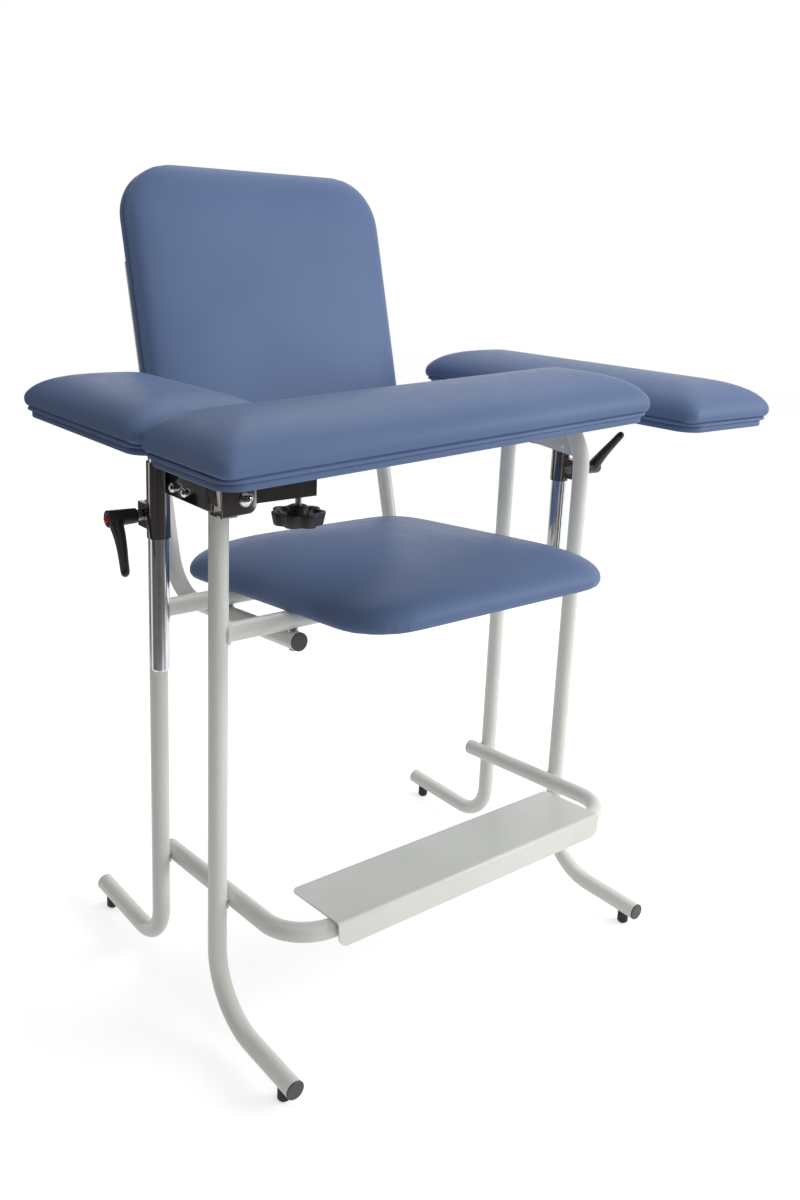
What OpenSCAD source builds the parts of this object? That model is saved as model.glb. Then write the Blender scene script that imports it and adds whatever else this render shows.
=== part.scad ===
// Blood-draw chair: a bent-tube frame with a footplate, a padded seat and backrest,
// two height-adjustable swivelling arm supports and a cross arm that flips up.
// Millimetres, +Z up, -Y is the front. The floor is at zero height.

/* [Side frames] */
// Distance between the middle planes of the two side frames
frame_w = 650; // [600:1:700]
// Distance between the middles of the front and rear legs
leg_gap = 163.2; // [150:0.1:175]
// Outside diameter of the frame tubes
tube_d = 25.4; // [24:0.1:27]
// Wall of the frame tubes
tube_wall = 2; // [1.4:0.1:3]
// Height of the top of the hoops
hoop_top = 809; // [790:0.1:830]
// Height of the middle of the foot tubes
foot_z = 30.5; // [26:0.1:40]
// Distance from the midline of the legs to the front ends of the feet
front_foot = 273; // [240:1:300]
// Distance from the midline of the legs to the rear ends of the feet
rear_foot = 277; // [240:1:300]
// Bend radius at the front feet
front_bend_r = 90; // [60:1:100]
// Bend radius at the rear feet
rear_bend_r = 62; // [50:1:90]
// Diameter of the glides under the feet
glide_d = 17; // [14:0.5:20]
// Distance from the end of a foot to the middle of its glide
glide_inset = 24; // [18:1:40]

/* [Foot rail and footplate] */
// Height of the foot rail's middle at the midline of the legs
rail_z = 180.3; // [150:0.1:220]
// Slope of the foot rail in degrees, front higher
rail_tilt = 4.6; // [0:0.1:8]
// Distance from the midline to the rear ends of the rail
rail_rear = 100; // [80:1:120]
// Distance from the midline to the middle of the rail's front run
rail_front = 226.3; // [200:0.1:240]
// Bend radius at the rail's corners
rail_bend_r = 64; // [50:1:80]
// Width of the footplate
footplate_w = 487.4; // [420:0.1:510]
// Distance from the midline to the footplate's front fold
footplate_front = 246.4; // [240:0.1:256]
// Distance from the midline to the footplate's rear edge
footplate_rear = 136; // [120:0.1:180]
// Thickness of the footplate sheet
footplate_t = 2.5; // [1.5:0.1:4]
// Height of the footplate's front lip
lip_h = 34.5; // [25:0.5:45]

/* [Seat] */
// Height of the seat board's underside at the midline of the legs
seat_z = 572; // [550:1:600]
// Slope of the seat in degrees, front higher
seat_tilt = 5; // [0:0.1:8]
// Width of the seat
seat_w = 456; // [420:1:500]
// Distance from the midline to the seat's front edge
seat_front = 268; // [250:1:290]
// Distance from the midline to the seat's rear edge
seat_rear = 238; // [200:1:240]
// Corner radius of the seat
seat_corner = 84; // [60:1:100]
// Thickness of the seat board
seat_board_t = 12; // [9:0.5:18]
// Height of the seat cushion's side
seat_side_h = 42; // [30:1:50]
// Rise of the seat cushion's crown over its side
seat_crown = 11; // [5:1:25]

/* [Backrest] */
// Lean of the backrest in degrees
back_lean = 15.4; // [8:0.1:18]
// Distance from a side edge of the backrest in to the axis of its tube
back_tube_in = 23; // [20:0.5:40]
// Distance along the seat from the midline to the corner of the back tubes
back_corner = 242.5; // [241:0.5:260]
// Bend radius of the back tubes
back_bend_r = 75; // [60:1:90]
// Distance along the seat from the midline to the front ends of the back tubes
back_tube_front = 95; // [94:1:110]
// Length of the back tubes above their corner
back_tube_rise = 512; // [480:1:530]
// Width of the backrest
back_w = 475; // [440:1:500]
// Length of the backrest along its slope
back_len = 469; // [420:1:500]
// Distance along the back tubes from their corner to the backrest's lower edge
back_low = 188; // [170:1:200]
// Corner radius of the backrest
back_pad_corner = 87; // [60:1:110]
// Thickness of the back board
back_board_t = 12; // [9:0.5:18]
// Height of the back cushion's side
back_side_h = 33; // [24:1:40]
// Rise of the back cushion's crown over its side
back_crown = 9; // [4:1:20]

/* [Arm supports] */
// Outside diameter of the posts
post_d = 25.4; // [24:0.1:28]
// Wall of the posts
post_wall = 2; // [1.6:0.1:3]
// Length of a post
post_len = 290; // [260:1:320]
// Distance from a side frame's middle plane to its post's axis
post_out = 39.4; // [36:0.1:44]
// Distance of the post axes ahead of the midline of the legs
post_ahead = 1.3; // [0:0.1:4]
// Outside diameter of the clamp sleeves
sleeve_d = 30; // [29:0.1:34]
// Height of the clamp sleeves
sleeve_h = 97; // [80:1:105]
// Distance from the hoop top down to the sleeve top
sleeve_drop = 33; // [30:0.1:45]
// Width of an arm pad
arm_w = 196; // [170:1:204]
// Distance from a post's axis out to the middle of its arm pad
arm_shift = 1.6; // [0:0.1:10]
// Distance from the midline to the front end of the right arm pad
right_arm_front = 322; // [290:1:330]
// Distance from the midline to the rear end of the right arm pad
right_arm_rear = 256; // [230:1:260]
// Distance from the midline to the rear end of the left arm pad
left_arm_rear = 200; // [180:1:240]
// Corner radius of the arm pads
arm_corner = 24; // [16:1:45]
// Corner radius of the arm boards
arm_board_corner = 26; // [18:1:40]
// Thickness of the arm boards
arm_board_t = 11; // [10:0.5:20]
// Height of an arm cushion's side
arm_side_h = 46; // [26:1:50]
// Rise of an arm cushion's crown over its side
arm_crown = 8; // [4:1:18]
// Space between the hoop top and the arm boards
arm_clear = 2.6; // [2:0.1:8]

/* [Front cross arm] */
// Length of the front cross arm
cross_len = 641; // [560:1:650]
// Distance from the left post axis to the cross arm's outer end
cross_out = 97.6; // [80:0.1:101]
// Distance from the midline to the cross arm's front edge
cross_front = 333; // [320:1:340]
// Width of the front cross arm
cross_w = 188; // [165:1:196]
// Space between the cross arm and the left arm pad
cross_gap = 4; // [3:0.5:8]
// Rise of the cross arm's free end in degrees
cross_tilt = 2.7; // [0:0.1:4]
// Distance from the cross arm's pivot up to its board
pivot_drop = 51; // [48:0.5:58]
// Distance from the left post axis in to the pivot
pivot_in = 18.4; // [14:0.1:24]

/* [Clamp levers and star knob] */
// Diameter of the clamp screws
clamp_screw_d = 8; // [6:0.5:9]
// Distance from a post's axis to its clamp screw
clamp_reach = 31; // [30:0.5:36]
// Diameter of a lever's hub
hub_d = 22; // [18:0.5:24]
// Length of a lever's hub
hub_len = 39; // [30:1:45]
// Length of a lever's handle
lever_len = 81; // [60:1:90]
// Turn of the left lever's handle from straight down, in degrees
left_lever_turn = -41; // [-45:1:30]
// Turn of the right lever's handle from straight down, in degrees
right_lever_turn = 143; // [110:1:155]
// Diameter of a lever's push button
button_d = 9; // [7:0.5:11]
// Diameter over the star knob's lobes
knob_d = 67; // [55:1:68]
// Number of lobes on the star knob
knob_lobes = 7; // [5:1:8]
// Height of the star knob's head
knob_h = 16; // [12:1:20]

/* [Hidden] */
$fn = 48;

// Colours
paint = "#bebfb8";
steel = "#c8c9cc";
vinyl = "#6e82a5";
black = "#202022";
cap_grey = "#4a4a4c";
signal_red = "#b03038";
plywood = "#a98a62";

// Clearances and one overrun for cuts
overrun = 1;
weld_gap = 0.1;
// How far straight lengths run into a bend that isn't square, and how much thicker it is
bend_lap = 1;
bend_swell = 0.3;
running = 0.05;
hole_fit = 0.2;
face_gap = 0.3;

// Frame tubes
tube_r = tube_d / 2;
tube_bore = tube_d - 2 * tube_wall;
hoop_r = leg_gap / 2;
hoop_z = hoop_top - tube_r - hoop_r;
side_x = frame_w / 2;
glide_edge = 3;
glide_stem_d = 5;
glide_stem_h = 6;
cap_t = 2;
cap_edge = 0.8;
cap_depth = 8;
gusset_t = 4;
gusset_low = 24;
gusset_slope = 6;

// Foot rail and footplate
rail_x = side_x - tube_d - weld_gap;
fold_r = 5;
plate_corner = 10;
lip_corner = 14;

// Seat and back tubes, in the tilted frame of the seat
spacer_gap = 2.5;
spacer_d = 15;
bolt_d = 6;
bolt_head_d = 12;
bolt_head_h = 3.5;
bolt_bite = 9;
back_tube_x = back_w / 2 - back_tube_in;
back_tube_z = -(tube_d + spacer_gap + tube_r);
back_turn = 90 - back_lean + seat_tilt;
back_bolt_low = 66;
back_bolt_high = 216;
board_inset = 3;
arm_board_inset = 7;
seat_board_inset = 4;

// Cushions
side_steps = 3;
corner_steps = 6;
roll_steps = 5;
crown_steps = 5;
tuck_share = 0.25;
seat_bulge = 4;
seat_roll = 110;
seat_tuck = 2;
seat_draw = 5;
back_bulge = 10;
back_roll = 44;
back_tuck = 4;
back_draw = 3;
arm_bulge = 10;
arm_roll = 72;
arm_tuck = 3;
arm_draw = 2;

// Arm supports, measured from the hoop top
post_x = side_x + post_out;
arm_z = hoop_top + arm_clear;
collar_h = 17.3;
post_top = arm_z - collar_h;
post_bottom = post_top - post_len;
post_bore = post_d - 2 * post_wall;
plug_t = 4;
plug_depth = 14;
spigot_h = 60;
flange_d = 90;
flange_t = 5;
flange_screw_d = 4.5;
flange_screw_head = 9;
flange_screw_reach = 34;
flange_screw_h = 10;
sleeve_top = hoop_top - sleeve_drop;
sleeve_z = sleeve_top - sleeve_h;
slit = 3;
lug_t = 6;
lug_h = 32;
lug_end = 12;
clamp_rise = 23;
clamp_z = sleeve_z + clamp_rise;
saddle_w = 24;
saddle_h = 22;
saddle_drop = 6;
bracket_t = 4;
bracket_w = 100;
bracket_h = 17;
bracket_rise = 32.4;
bracket_z = hoop_z + bracket_rise;
bracket_bolt_y = 40;
nut_d = 10;
nut_h = 4;
bolt_proud = 1;
clamp_nut_d = 14;
clamp_nut_h = 7;
collar_d = 14;
collar_len = 8.5;
hub_gap = 0.5;
hub_taper = 2;
button_out = 3;
button_in = 5;
button_travel = 2.5;
grip_d = 15;
grip_tip_d = 11.5;
grip_flare = 7;
arm_x = post_x + arm_shift;
left_arm_front = cross_front - cross_w - cross_gap;

// Front cross arm and its hinge on the left arm
cross_lift = 2.4;
pivot_x = -(post_x - pivot_in);
pivot_z = arm_z - pivot_drop + cross_lift;
strap_out = 7.6;
strap_t = 4;
strap_low = 20;
strap_over = 20;
strap_rear = 34;
strap_screw_first = 51;
strap_screw_gap = 30;
strap_screw_ys = [strap_screw_first, strap_screw_first + strap_screw_gap];
flange_row_inset = 25;
strap_flange = 40;
strap_screw_d = 12;
strap_screw_h = 4;
bar_size = 25;
bar_below = 9;
bar_len = 124;
bar_front = 172;
ear_t = 4;
ear_gap = 4;
ear_left = 31;
ear_right = 25;
ear_low = 22;
hinge_plate_t = 4;
hinge_plate_len = 210;
hinge_plate_left = 50;
hinge_plate_w = 66;
hinge_plate_rear = 152;
hinge_screw_first = 25;
hinge_screw_gap = 35;
hinge_screw_last = 140;
hinge_screw_xs = [hinge_screw_first, hinge_screw_first + hinge_screw_gap, hinge_screw_last];
hinge_screw_inset = 14;
pivot_d = 10;
pivot_head_d = 19;
pivot_head_h = 7;
stud_d = 8;
stud_x = 84;
stud_y = 160;
knob_drop = 18;
knob_boss_d = 32;
knob_neck_d = 24;
knob_boss_h = 8;
lobe_d = 18;

// How far the chair reaches ahead of and behind the midline of the legs
back_corner_y = back_corner * cos(seat_tilt) + back_tube_z * sin(seat_tilt);
rear_reach = back_corner_y + (back_low + back_len - board_inset) * sin(back_lean) - tube_r * cos(back_lean);
mid_y = (cross_front - rear_reach) / 2;

// Puts what is placed from the midline of the legs into the chair's own frame
module chair() {
  translate([0, mid_y, 0])
    children();
}

// Bent tubes: a run is a list of straight lengths and bends
function straight(length) = [length, 0, 0, 0];
function bend(radius, angle, roll) = [0, radius, angle, roll];

module tube_section(swell = 0) {
  difference() {
    circle(d = tube_d + swell);
    circle(d = tube_bore - swell);
  }
}

// With a lap the straight lengths run into the bends, which are a hair thicker
module tube_run(steps, lap = 0, i = 0) {
  if (i < len(steps)) {
    length = steps[i][0];
    radius = steps[i][1];
    angle = steps[i][2];
    start = i > 0 ? lap : 0;
    end = i < len(steps) - 1 ? lap : 0;
    rotate([0, 0, steps[i][3]]) {
      if (length > 0)
        translate([0, 0, -start])
          linear_extrude(length + start + end)
            tube_section();
      if (radius > 0)
        translate([radius, 0, 0])
          rotate([90, 0, 0])
            rotate([0, 0, 180 - angle])
              rotate_extrude(angle = angle)
                translate([radius, 0])
                  tube_section(lap > 0 ? bend_swell : 0);
      translate([radius * (1 - cos(angle)), 0, length + radius * sin(angle)])
        rotate([0, angle, 0])
          tube_run(steps, lap, i + 1);
    }
  }
}

// End plug of a tube, its head outwards along +Z
module tube_plug() {
  translate([0, 0, cap_t - cap_edge])
    cylinder(d1 = tube_d, d2 = tube_d - 2 * cap_edge, h = cap_edge);
  cylinder(d = tube_d, h = cap_t - cap_edge);
  translate([0, 0, -cap_depth])
    cylinder(d = tube_bore - 2 * weld_gap, h = cap_depth);
}

// Screw with a domed head at the origin and its shank along -Z
module dome_screw(shank_d, length, head_d, head_h) {
  dome_r = (head_d * head_d / 4 + head_h * head_h) / (2 * head_h);
  translate([0, 0, -length])
    cylinder(d = shank_d, h = length + head_h / 4);
  intersection() {
    translate([0, 0, head_h - dome_r])
      sphere(r = dome_r);
    cylinder(d = head_d, h = head_h);
  }
}

// Rounded outlines
module round_rect(w, l, r) {
  square([w - 2 * r, l], center = true);
  square([w, l - 2 * r], center = true);
  for (sx = [-1, 1])
    for (sy = [-1, 1])
      translate([sx * (w / 2 - r), sy * (l / 2 - r)])
        circle(r = r);
}

// Strip from y = 0 to y = l whose two far corners are round
module tongue(w, l, r) {
  translate([-w / 2, 0])
    square([w, l - r]);
  translate([r - w / 2, 0])
    square([w - 2 * r, l]);
  for (sx = [-1, 1])
    translate([sx * (w / 2 - r), l - r])
      circle(r = r);
}

// One ring of a cushion: a rounded rectangle drawn in by d, its sides bowed in by bow
function ring_corner(a, b, q, k, z) = [
  for (i = [0 : corner_steps])
    let (turn = 90 * (k + i / corner_steps))
    let (sx = (k == 0 || k == 3) ? 1 : -1)
    let (sy = k < 2 ? 1 : -1)
    [sx * (a - q) + q * cos(turn), sy * (b - q) + q * sin(turn), z]
];
function ring_side(from, to, k, bow, z) = [
  for (i = [1 : side_steps])
    let (t = i / (side_steps + 1))
    let (dip = bow * 4 * t * (1 - t))
    let (way = 90 * k + 270)
    [from[0] + (to[0] - from[0]) * t + dip * cos(way),
     from[1] + (to[1] - from[1]) * t + dip * sin(way), z]
];
function ring(hx, hy, r, d, bow, z) =
  let (m = min(hx, hy))
  let (q = max(r - d, (m - d) * min(1, d / m)))
  let (c = [for (k = [0 : 3]) ring_corner(hx - d, hy - d, q, k, z)])
  [for (k = [0 : 3]) for (p = concat(c[k], ring_side(c[k][corner_steps], c[(k + 1) % 4][0], k, bow, z))) p];

// Crowned cushion on a flat bottom: drawn-in foot, rolled edge and crown
module cushion(w, l, r, side_h, crown, bulge, roll, tuck, draw) {
  hx = w / 2;
  hy = l / 2;
  core = min(hx, hy) - roll;
  foot_rings = [
    [tuck, 0],
    [tuck * tuck_share, bulge / 3],
    [0, bulge]
  ];
  roll_rings = [
    for (i = [1 : roll_steps])
      let (t = 90 * i / roll_steps)
      [roll * (1 - cos(t)), bulge + (side_h - bulge) * sin(t)]
  ];
  crown_rings = [
    for (i = [1 : crown_steps - 1])
      let (t = i / crown_steps)
      [roll + core * t, side_h + crown * (1 - (1 - t) * (1 - t))]
  ];
  rings = concat(foot_rings, roll_rings, crown_rings);
  n = 4 * (corner_steps + 1 + side_steps);
  last = len(rings) - 1;
  skin = [for (g = rings) for (p = ring(hx, hy, r, g[0], draw * (1 - g[0] / (roll + core)), g[1])) p];
  points = concat(skin, [[0, 0, 0], [0, 0, side_h + crown]]);
  foot = len(skin);
  walls = [
    for (g = [0 : last - 1]) for (i = [0 : n - 1])
      let (a = g * n + i)
      let (b = g * n + (i + 1) % n)
      each [[a, a + n, b + n], [a, b + n, b]]
  ];
  bottom = [for (i = [0 : n - 1]) [foot, i, (i + 1) % n]];
  top = [for (i = [0 : n - 1]) [foot + 1, last * n + (i + 1) % n, last * n + i]];
  polyhedron(points = points, faces = concat(walls, bottom, top));
}

// Side frames
side_path = [
  straight(front_foot - hoop_r - front_bend_r),
  bend(front_bend_r, 90, 0),
  straight(hoop_z - foot_z - front_bend_r),
  bend(hoop_r, 180, 180),
  straight(hoop_z - foot_z - rear_bend_r),
  bend(rear_bend_r, 90, 180),
  straight(rear_foot - hoop_r - rear_bend_r)
];
glide_ys = [glide_inset - front_foot, rear_foot - glide_inset];

module side_frame(side) {
  color(paint)
    chair()
      difference() {
        translate([side * side_x, -front_foot, foot_z])
          rotate([0, -90, -90])
            tube_run(side_path);
        for (y = glide_ys)
          translate([side * side_x, y, foot_z - tube_r - overrun])
            cylinder(d = glide_stem_d + 2 * hole_fit, h = tube_wall + 2 * overrun);
      }
}

module foot_caps() {
  color(cap_grey)
    chair()
      for (x = [-side_x, side_x]) {
        translate([x, -front_foot, foot_z])
          rotate([90, 0, 0])
            tube_plug();
        translate([x, rear_foot, foot_z])
          rotate([-90, 0, 0])
            tube_plug();
      }
}

module glides() {
  color(black)
    chair()
      for (x = [-side_x, side_x])
        for (y = glide_ys)
          translate([x, y, 0]) {
            difference() {
              union() {
                cylinder(d1 = glide_d - 2 * glide_edge, d2 = glide_d, h = glide_edge);
                translate([0, 0, glide_edge])
                  cylinder(d = glide_d, h = foot_z - tube_r);
              }
              translate([0, glide_d, foot_z])
                rotate([90, 0, 0])
                  cylinder(d = tube_d, h = 2 * glide_d);
            }
            translate([0, 0, foot_z - tube_r - glide_edge])
              cylinder(d = glide_stem_d, h = glide_edge + glide_stem_h);
          }
}

// Plate across the inside of a hoop's top, with holes for the clamp sleeve's bolts
module gusset(side) {
  reach = hoop_r - tube_r;
  color(paint)
    chair()
      translate([side * side_x - gusset_t / 2, 0, hoop_z])
        rotate([90, 0, 90])
          linear_extrude(gusset_t)
            difference() {
              circle(r = reach);
              polygon([
                [-reach - overrun, gusset_low - gusset_slope],
                [reach + overrun, gusset_low + gusset_slope],
                [reach + overrun, -reach - overrun],
                [-reach - overrun, -reach - overrun]
              ]);
              for (y = [-bracket_bolt_y, bracket_bolt_y])
                translate([y, bracket_z - hoop_z])
                  circle(d = bolt_d + 2 * hole_fit);
            }
}

// Foot rail and footplate, in the rail's sloping frame
module rail_frame() {
  chair()
    translate([0, 0, rail_z])
      rotate([-rail_tilt, 0, 0])
        children();
}

module foot_rail() {
  color(paint)
    rail_frame()
      translate([-rail_x, rail_rear, 0])
        rotate([90, 0, 0])
          tube_run([
            straight(rail_rear + rail_front - rail_bend_r),
            bend(rail_bend_r, 90, 0),
            straight(2 * (rail_x - rail_bend_r)),
            bend(rail_bend_r, 90, 0),
            straight(rail_rear + rail_front - rail_bend_r)
          ]);
}

module rail_caps() {
  color(cap_grey)
    rail_frame()
      for (x = [-rail_x, rail_x])
        translate([x, rail_rear, 0])
          rotate([-90, 0, 0])
            tube_plug();
}

module footplate() {
  color(paint)
    rail_frame() {
      translate([0, fold_r - footplate_front, tube_r])
        linear_extrude(footplate_t)
          tongue(footplate_w, footplate_front - footplate_rear - fold_r, plate_corner);
      translate([0, footplate_t - footplate_front, tube_r + footplate_t - fold_r])
        rotate([-90, 0, 180])
          linear_extrude(footplate_t)
            tongue(footplate_w, lip_h - fold_r, lip_corner);
      translate([-footplate_w / 2, fold_r - footplate_front, tube_r + footplate_t - fold_r])
        rotate([90, 0, 90])
          linear_extrude(footplate_w)
            intersection() {
              difference() {
                circle(r = fold_r);
                circle(r = fold_r - footplate_t);
              }
              translate([-fold_r, 0])
                square(fold_r);
            }
    }
}

// Seat, in its sloping frame: the board's underside is at zero height
module seat_frame() {
  chair()
    translate([0, 0, seat_z])
      rotate([-seat_tilt, 0, 0])
        children();
}

function seat_y(y) = (y + tube_r * sin(seat_tilt)) / cos(seat_tilt);
seat_tube_ys = [seat_y(-hoop_r), seat_y(hoop_r)];

module seat_bolt_places() {
  for (x = [-back_tube_x, back_tube_x])
    for (y = seat_tube_ys)
      translate([x, y, 0])
        children();
}

module seat_bolt_holes() {
  seat_frame()
    seat_bolt_places()
      translate([0, 0, back_tube_z - tube_d])
        cylinder(d = bolt_d + 2 * hole_fit, h = tube_d - back_tube_z);
}

module seat_tube(y, leg_y) {
  color(paint)
    difference() {
      seat_frame()
        translate([-side_x, y, -tube_r])
          rotate([0, 90, 0])
            linear_extrude(frame_w)
              tube_section();
      chair()
        for (x = [-side_x, side_x])
          translate([x, leg_y, 0])
            cylinder(d = tube_d + 2 * weld_gap, h = hoop_z);
      seat_bolt_holes();
    }
}

module back_frame() {
  seat_frame()
    translate([0, back_corner, back_tube_z])
      rotate([back_turn, 0, 0])
        children();
}

module back_bolt_places() {
  for (x = [-back_tube_x, back_tube_x])
    for (y = [back_low + back_bolt_low, back_low + back_bolt_high])
      translate([x, y, 0])
        children();
}

module back_tube(side) {
  tangent = back_bend_r * tan(back_turn / 2);
  color(paint)
    difference() {
      seat_frame()
        translate([side * back_tube_x, -back_tube_front, back_tube_z])
          rotate([0, -90, -90])
            tube_run([
              straight(back_tube_front + back_corner - tangent),
              bend(back_bend_r, back_turn, 0),
              straight(back_tube_rise - tangent)
            ], bend_lap);
      seat_bolt_holes();
      back_frame()
        back_bolt_places()
          translate([0, 0, -tube_d])
            cylinder(d = bolt_d + 2 * hole_fit, h = 2 * tube_d);
    }
}

module back_tube_caps() {
  color(cap_grey)
    for (x = [-back_tube_x, back_tube_x]) {
      seat_frame()
        translate([x, -back_tube_front, back_tube_z])
          rotate([90, 0, 0])
            tube_plug();
      back_frame()
        translate([x, back_tube_rise, 0])
          rotate([-90, 0, 0])
            tube_plug();
    }
}

// Saddle pieces between the crossing tubes
module seat_spacers() {
  color(steel)
    seat_frame()
      seat_bolt_places()
        difference() {
          translate([0, 0, back_tube_z])
            cylinder(d = spacer_d, h = -tube_r - back_tube_z);
          translate([0, 0, back_tube_z - tube_r])
            cylinder(d = bolt_d + 2 * hole_fit, h = tube_d - back_tube_z);
          translate([-spacer_d, 0, -tube_r])
            rotate([0, 90, 0])
              cylinder(d = tube_d, h = 2 * spacer_d);
          translate([0, spacer_d, back_tube_z])
            rotate([90, 0, 0])
              cylinder(d = tube_d, h = 2 * spacer_d);
        }
}

module seat_bolts() {
  color(steel)
    seat_frame()
      seat_bolt_places()
        translate([0, 0, back_tube_z - tube_r])
          rotate([180, 0, 0])
            dome_screw(bolt_d, tube_r - back_tube_z + bolt_bite, bolt_head_d, bolt_head_h);
}

module seat_board() {
  l = seat_front + seat_rear;
  color(plywood)
    seat_frame()
      difference() {
        translate([0, (seat_rear - seat_front) / 2, 0])
          linear_extrude(seat_board_t)
            round_rect(seat_w - 2 * seat_board_inset, l - 2 * seat_board_inset, seat_corner - seat_board_inset);
        seat_bolt_places()
          translate([0, 0, -overrun])
            cylinder(d = bolt_d, h = bolt_bite + overrun);
      }
}

module seat_cushion() {
  l = seat_front + seat_rear;
  color(vinyl)
    seat_frame()
      translate([0, (seat_rear - seat_front) / 2, seat_board_t])
        cushion(seat_w, l, seat_corner, seat_side_h, seat_crown, seat_bulge, seat_roll, seat_tuck, seat_draw);
}

// Backrest, in the frame of the back tubes: +Y up the tubes, +Z forwards
module back_bolts() {
  color(steel)
    back_frame()
      back_bolt_places()
        translate([0, 0, -tube_r])
          rotate([180, 0, 0])
            dome_screw(bolt_d, tube_d + bolt_bite, bolt_head_d, bolt_head_h);
}

module back_board() {
  color(vinyl)
    back_frame()
      difference() {
        translate([0, back_low + back_len / 2, tube_r])
          linear_extrude(back_board_t)
            round_rect(back_w - 2 * board_inset, back_len - 2 * board_inset, back_pad_corner - board_inset);
        back_bolt_places()
          translate([0, 0, tube_r - overrun])
            cylinder(d = bolt_d, h = bolt_bite + overrun);
      }
}

module back_cushion() {
  color(vinyl)
    back_frame()
      translate([0, back_low + back_len / 2, tube_r + back_board_t])
        cushion(back_w, back_len, back_pad_corner, back_side_h, back_crown, back_bulge, back_roll, back_tuck, back_draw);
}

// Frame of one arm support: origin on the post's axis, +X outwards, the lugs towards -Y
module support(side) {
  chair()
    translate([side * post_x, -post_ahead, 0])
      rotate([0, 0, side > 0 ? 0 : 180])
        children();
}

module lug(x) {
  translate([x, -clamp_reach - lug_end, clamp_z - lug_h / 2])
    cube([lug_t, clamp_reach + lug_end - sleeve_d / 4, lug_h]);
}

module clamp_sleeve(side) {
  saddle_x = post_out - gusset_t / 2;
  color(steel) {
    support(side)
      difference() {
        union() {
          translate([0, 0, sleeve_z])
            cylinder(d = sleeve_d, h = sleeve_h);
          lug(slit / 2);
          lug(-slit / 2 - lug_t);
          translate([-saddle_x, -saddle_w / 2, sleeve_top - saddle_drop - saddle_h])
            cube([saddle_x, saddle_w, saddle_h]);
        }
        translate([0, 0, sleeve_z - overrun])
          cylinder(d = post_d + 2 * running, h = sleeve_h + 2 * overrun);
        translate([-slit / 2, -post_d, sleeve_z - overrun])
          cube([slit, post_d, sleeve_h + 2 * overrun]);
        translate([-slit / 2 - lug_t - overrun, -clamp_reach, clamp_z])
          rotate([0, 90, 0])
            cylinder(d = clamp_screw_d + 2 * running, h = slit + 2 * lug_t + 2 * overrun);
      }
    chair()
      translate([side * (side_x + (gusset_t + bracket_t) / 2), 0, bracket_z])
        difference() {
          cube([bracket_t, bracket_w, bracket_h], center = true);
          for (y = [-bracket_bolt_y, bracket_bolt_y])
            translate([-bracket_t, y, 0])
              rotate([0, 90, 0])
                cylinder(d = bolt_d + 2 * hole_fit, h = 2 * bracket_t);
        }
  }
}

module sleeve_bolts() {
  color(steel)
    chair()
      for (side = [-1, 1])
        for (y = [-bracket_bolt_y, bracket_bolt_y])
          translate([side * (side_x - gusset_t / 2), y, bracket_z])
            rotate([0, -side * 90, 0])
              dome_screw(bolt_d, gusset_t + bracket_t + nut_h + bolt_proud, bolt_head_d, bolt_head_h);
}

module sleeve_nuts() {
  color(steel)
    chair()
      for (side = [-1, 1])
        for (y = [-bracket_bolt_y, bracket_bolt_y])
          translate([side * (side_x + gusset_t / 2 + bracket_t), y, bracket_z])
            rotate([0, side * 90, 0])
              difference() {
                cylinder(d = nut_d, h = nut_h, $fn = 6);
                translate([0, 0, -overrun])
                  cylinder(d = bolt_d, h = nut_h + 2 * overrun);
              }
}

module clamp_nuts() {
  color(steel)
    for (side = [-1, 1])
      support(side)
        translate([-slit / 2 - lug_t, -clamp_reach, clamp_z])
          rotate([0, -90, 0])
            difference() {
              cylinder(d = clamp_nut_d, h = clamp_nut_h, $fn = 6);
              translate([0, 0, -overrun])
                cylinder(d = clamp_screw_d + 2 * running, h = clamp_nut_h + 2 * overrun);
            }
}

// Posts
module post(side) {
  color(steel)
    support(side)
      translate([0, 0, post_bottom])
        linear_extrude(post_len)
          difference() {
            circle(d = post_d);
            circle(d = post_bore);
          }
}

module post_plug(side) {
  color(steel)
    support(side)
      translate([0, 0, post_bottom]) {
        cylinder(d = post_bore - 2 * weld_gap, h = plug_depth);
        translate([0, 0, -plug_t])
          cylinder(d1 = post_d - 2 * plug_t, d2 = post_d, h = plug_t);
      }
}

// Clamp levers: hub on the screw's axis, handle turned from straight down
hub_start = slit / 2 + lug_t + collar_len;

module lever_place(side) {
  turn = side > 0 ? right_lever_turn : left_lever_turn;
  support(side)
    translate([hub_start, -clamp_reach, clamp_z])
      rotate([-turn, 0, 0])
        children();
}

module lever(side) {
  color(black)
    lever_place(side)
      difference() {
        union() {
          rotate([0, 90, 0])
            cylinder(d1 = hub_d - hub_taper, d2 = hub_d, h = hub_len);
          hull() {
            translate([hub_len - grip_d, 0, 0])
              rotate([0, 90, 0])
                cylinder(d = hub_d, h = grip_d, $fn = 32);
            translate([hub_len - grip_d / 2, 0, -hub_d])
              sphere(d = grip_d, $fn = 32);
          }
          hull() {
            translate([hub_len - grip_d / 2, 0, -hub_d])
              sphere(d = grip_d, $fn = 32);
            translate([hub_len - grip_d / 2 + grip_flare, 0, grip_tip_d / 2 - lever_len])
              sphere(d = grip_tip_d, $fn = 32);
          }
        }
        translate([-overrun, 0, 0])
          rotate([0, 90, 0])
            cylinder(d = clamp_screw_d, h = hub_len / 2 + overrun);
        translate([hub_len - button_in - button_travel - hub_gap, 0, 0])
          rotate([0, 90, 0])
            cylinder(d = button_d + 2 * running, h = hub_len);
      }
}

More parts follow.
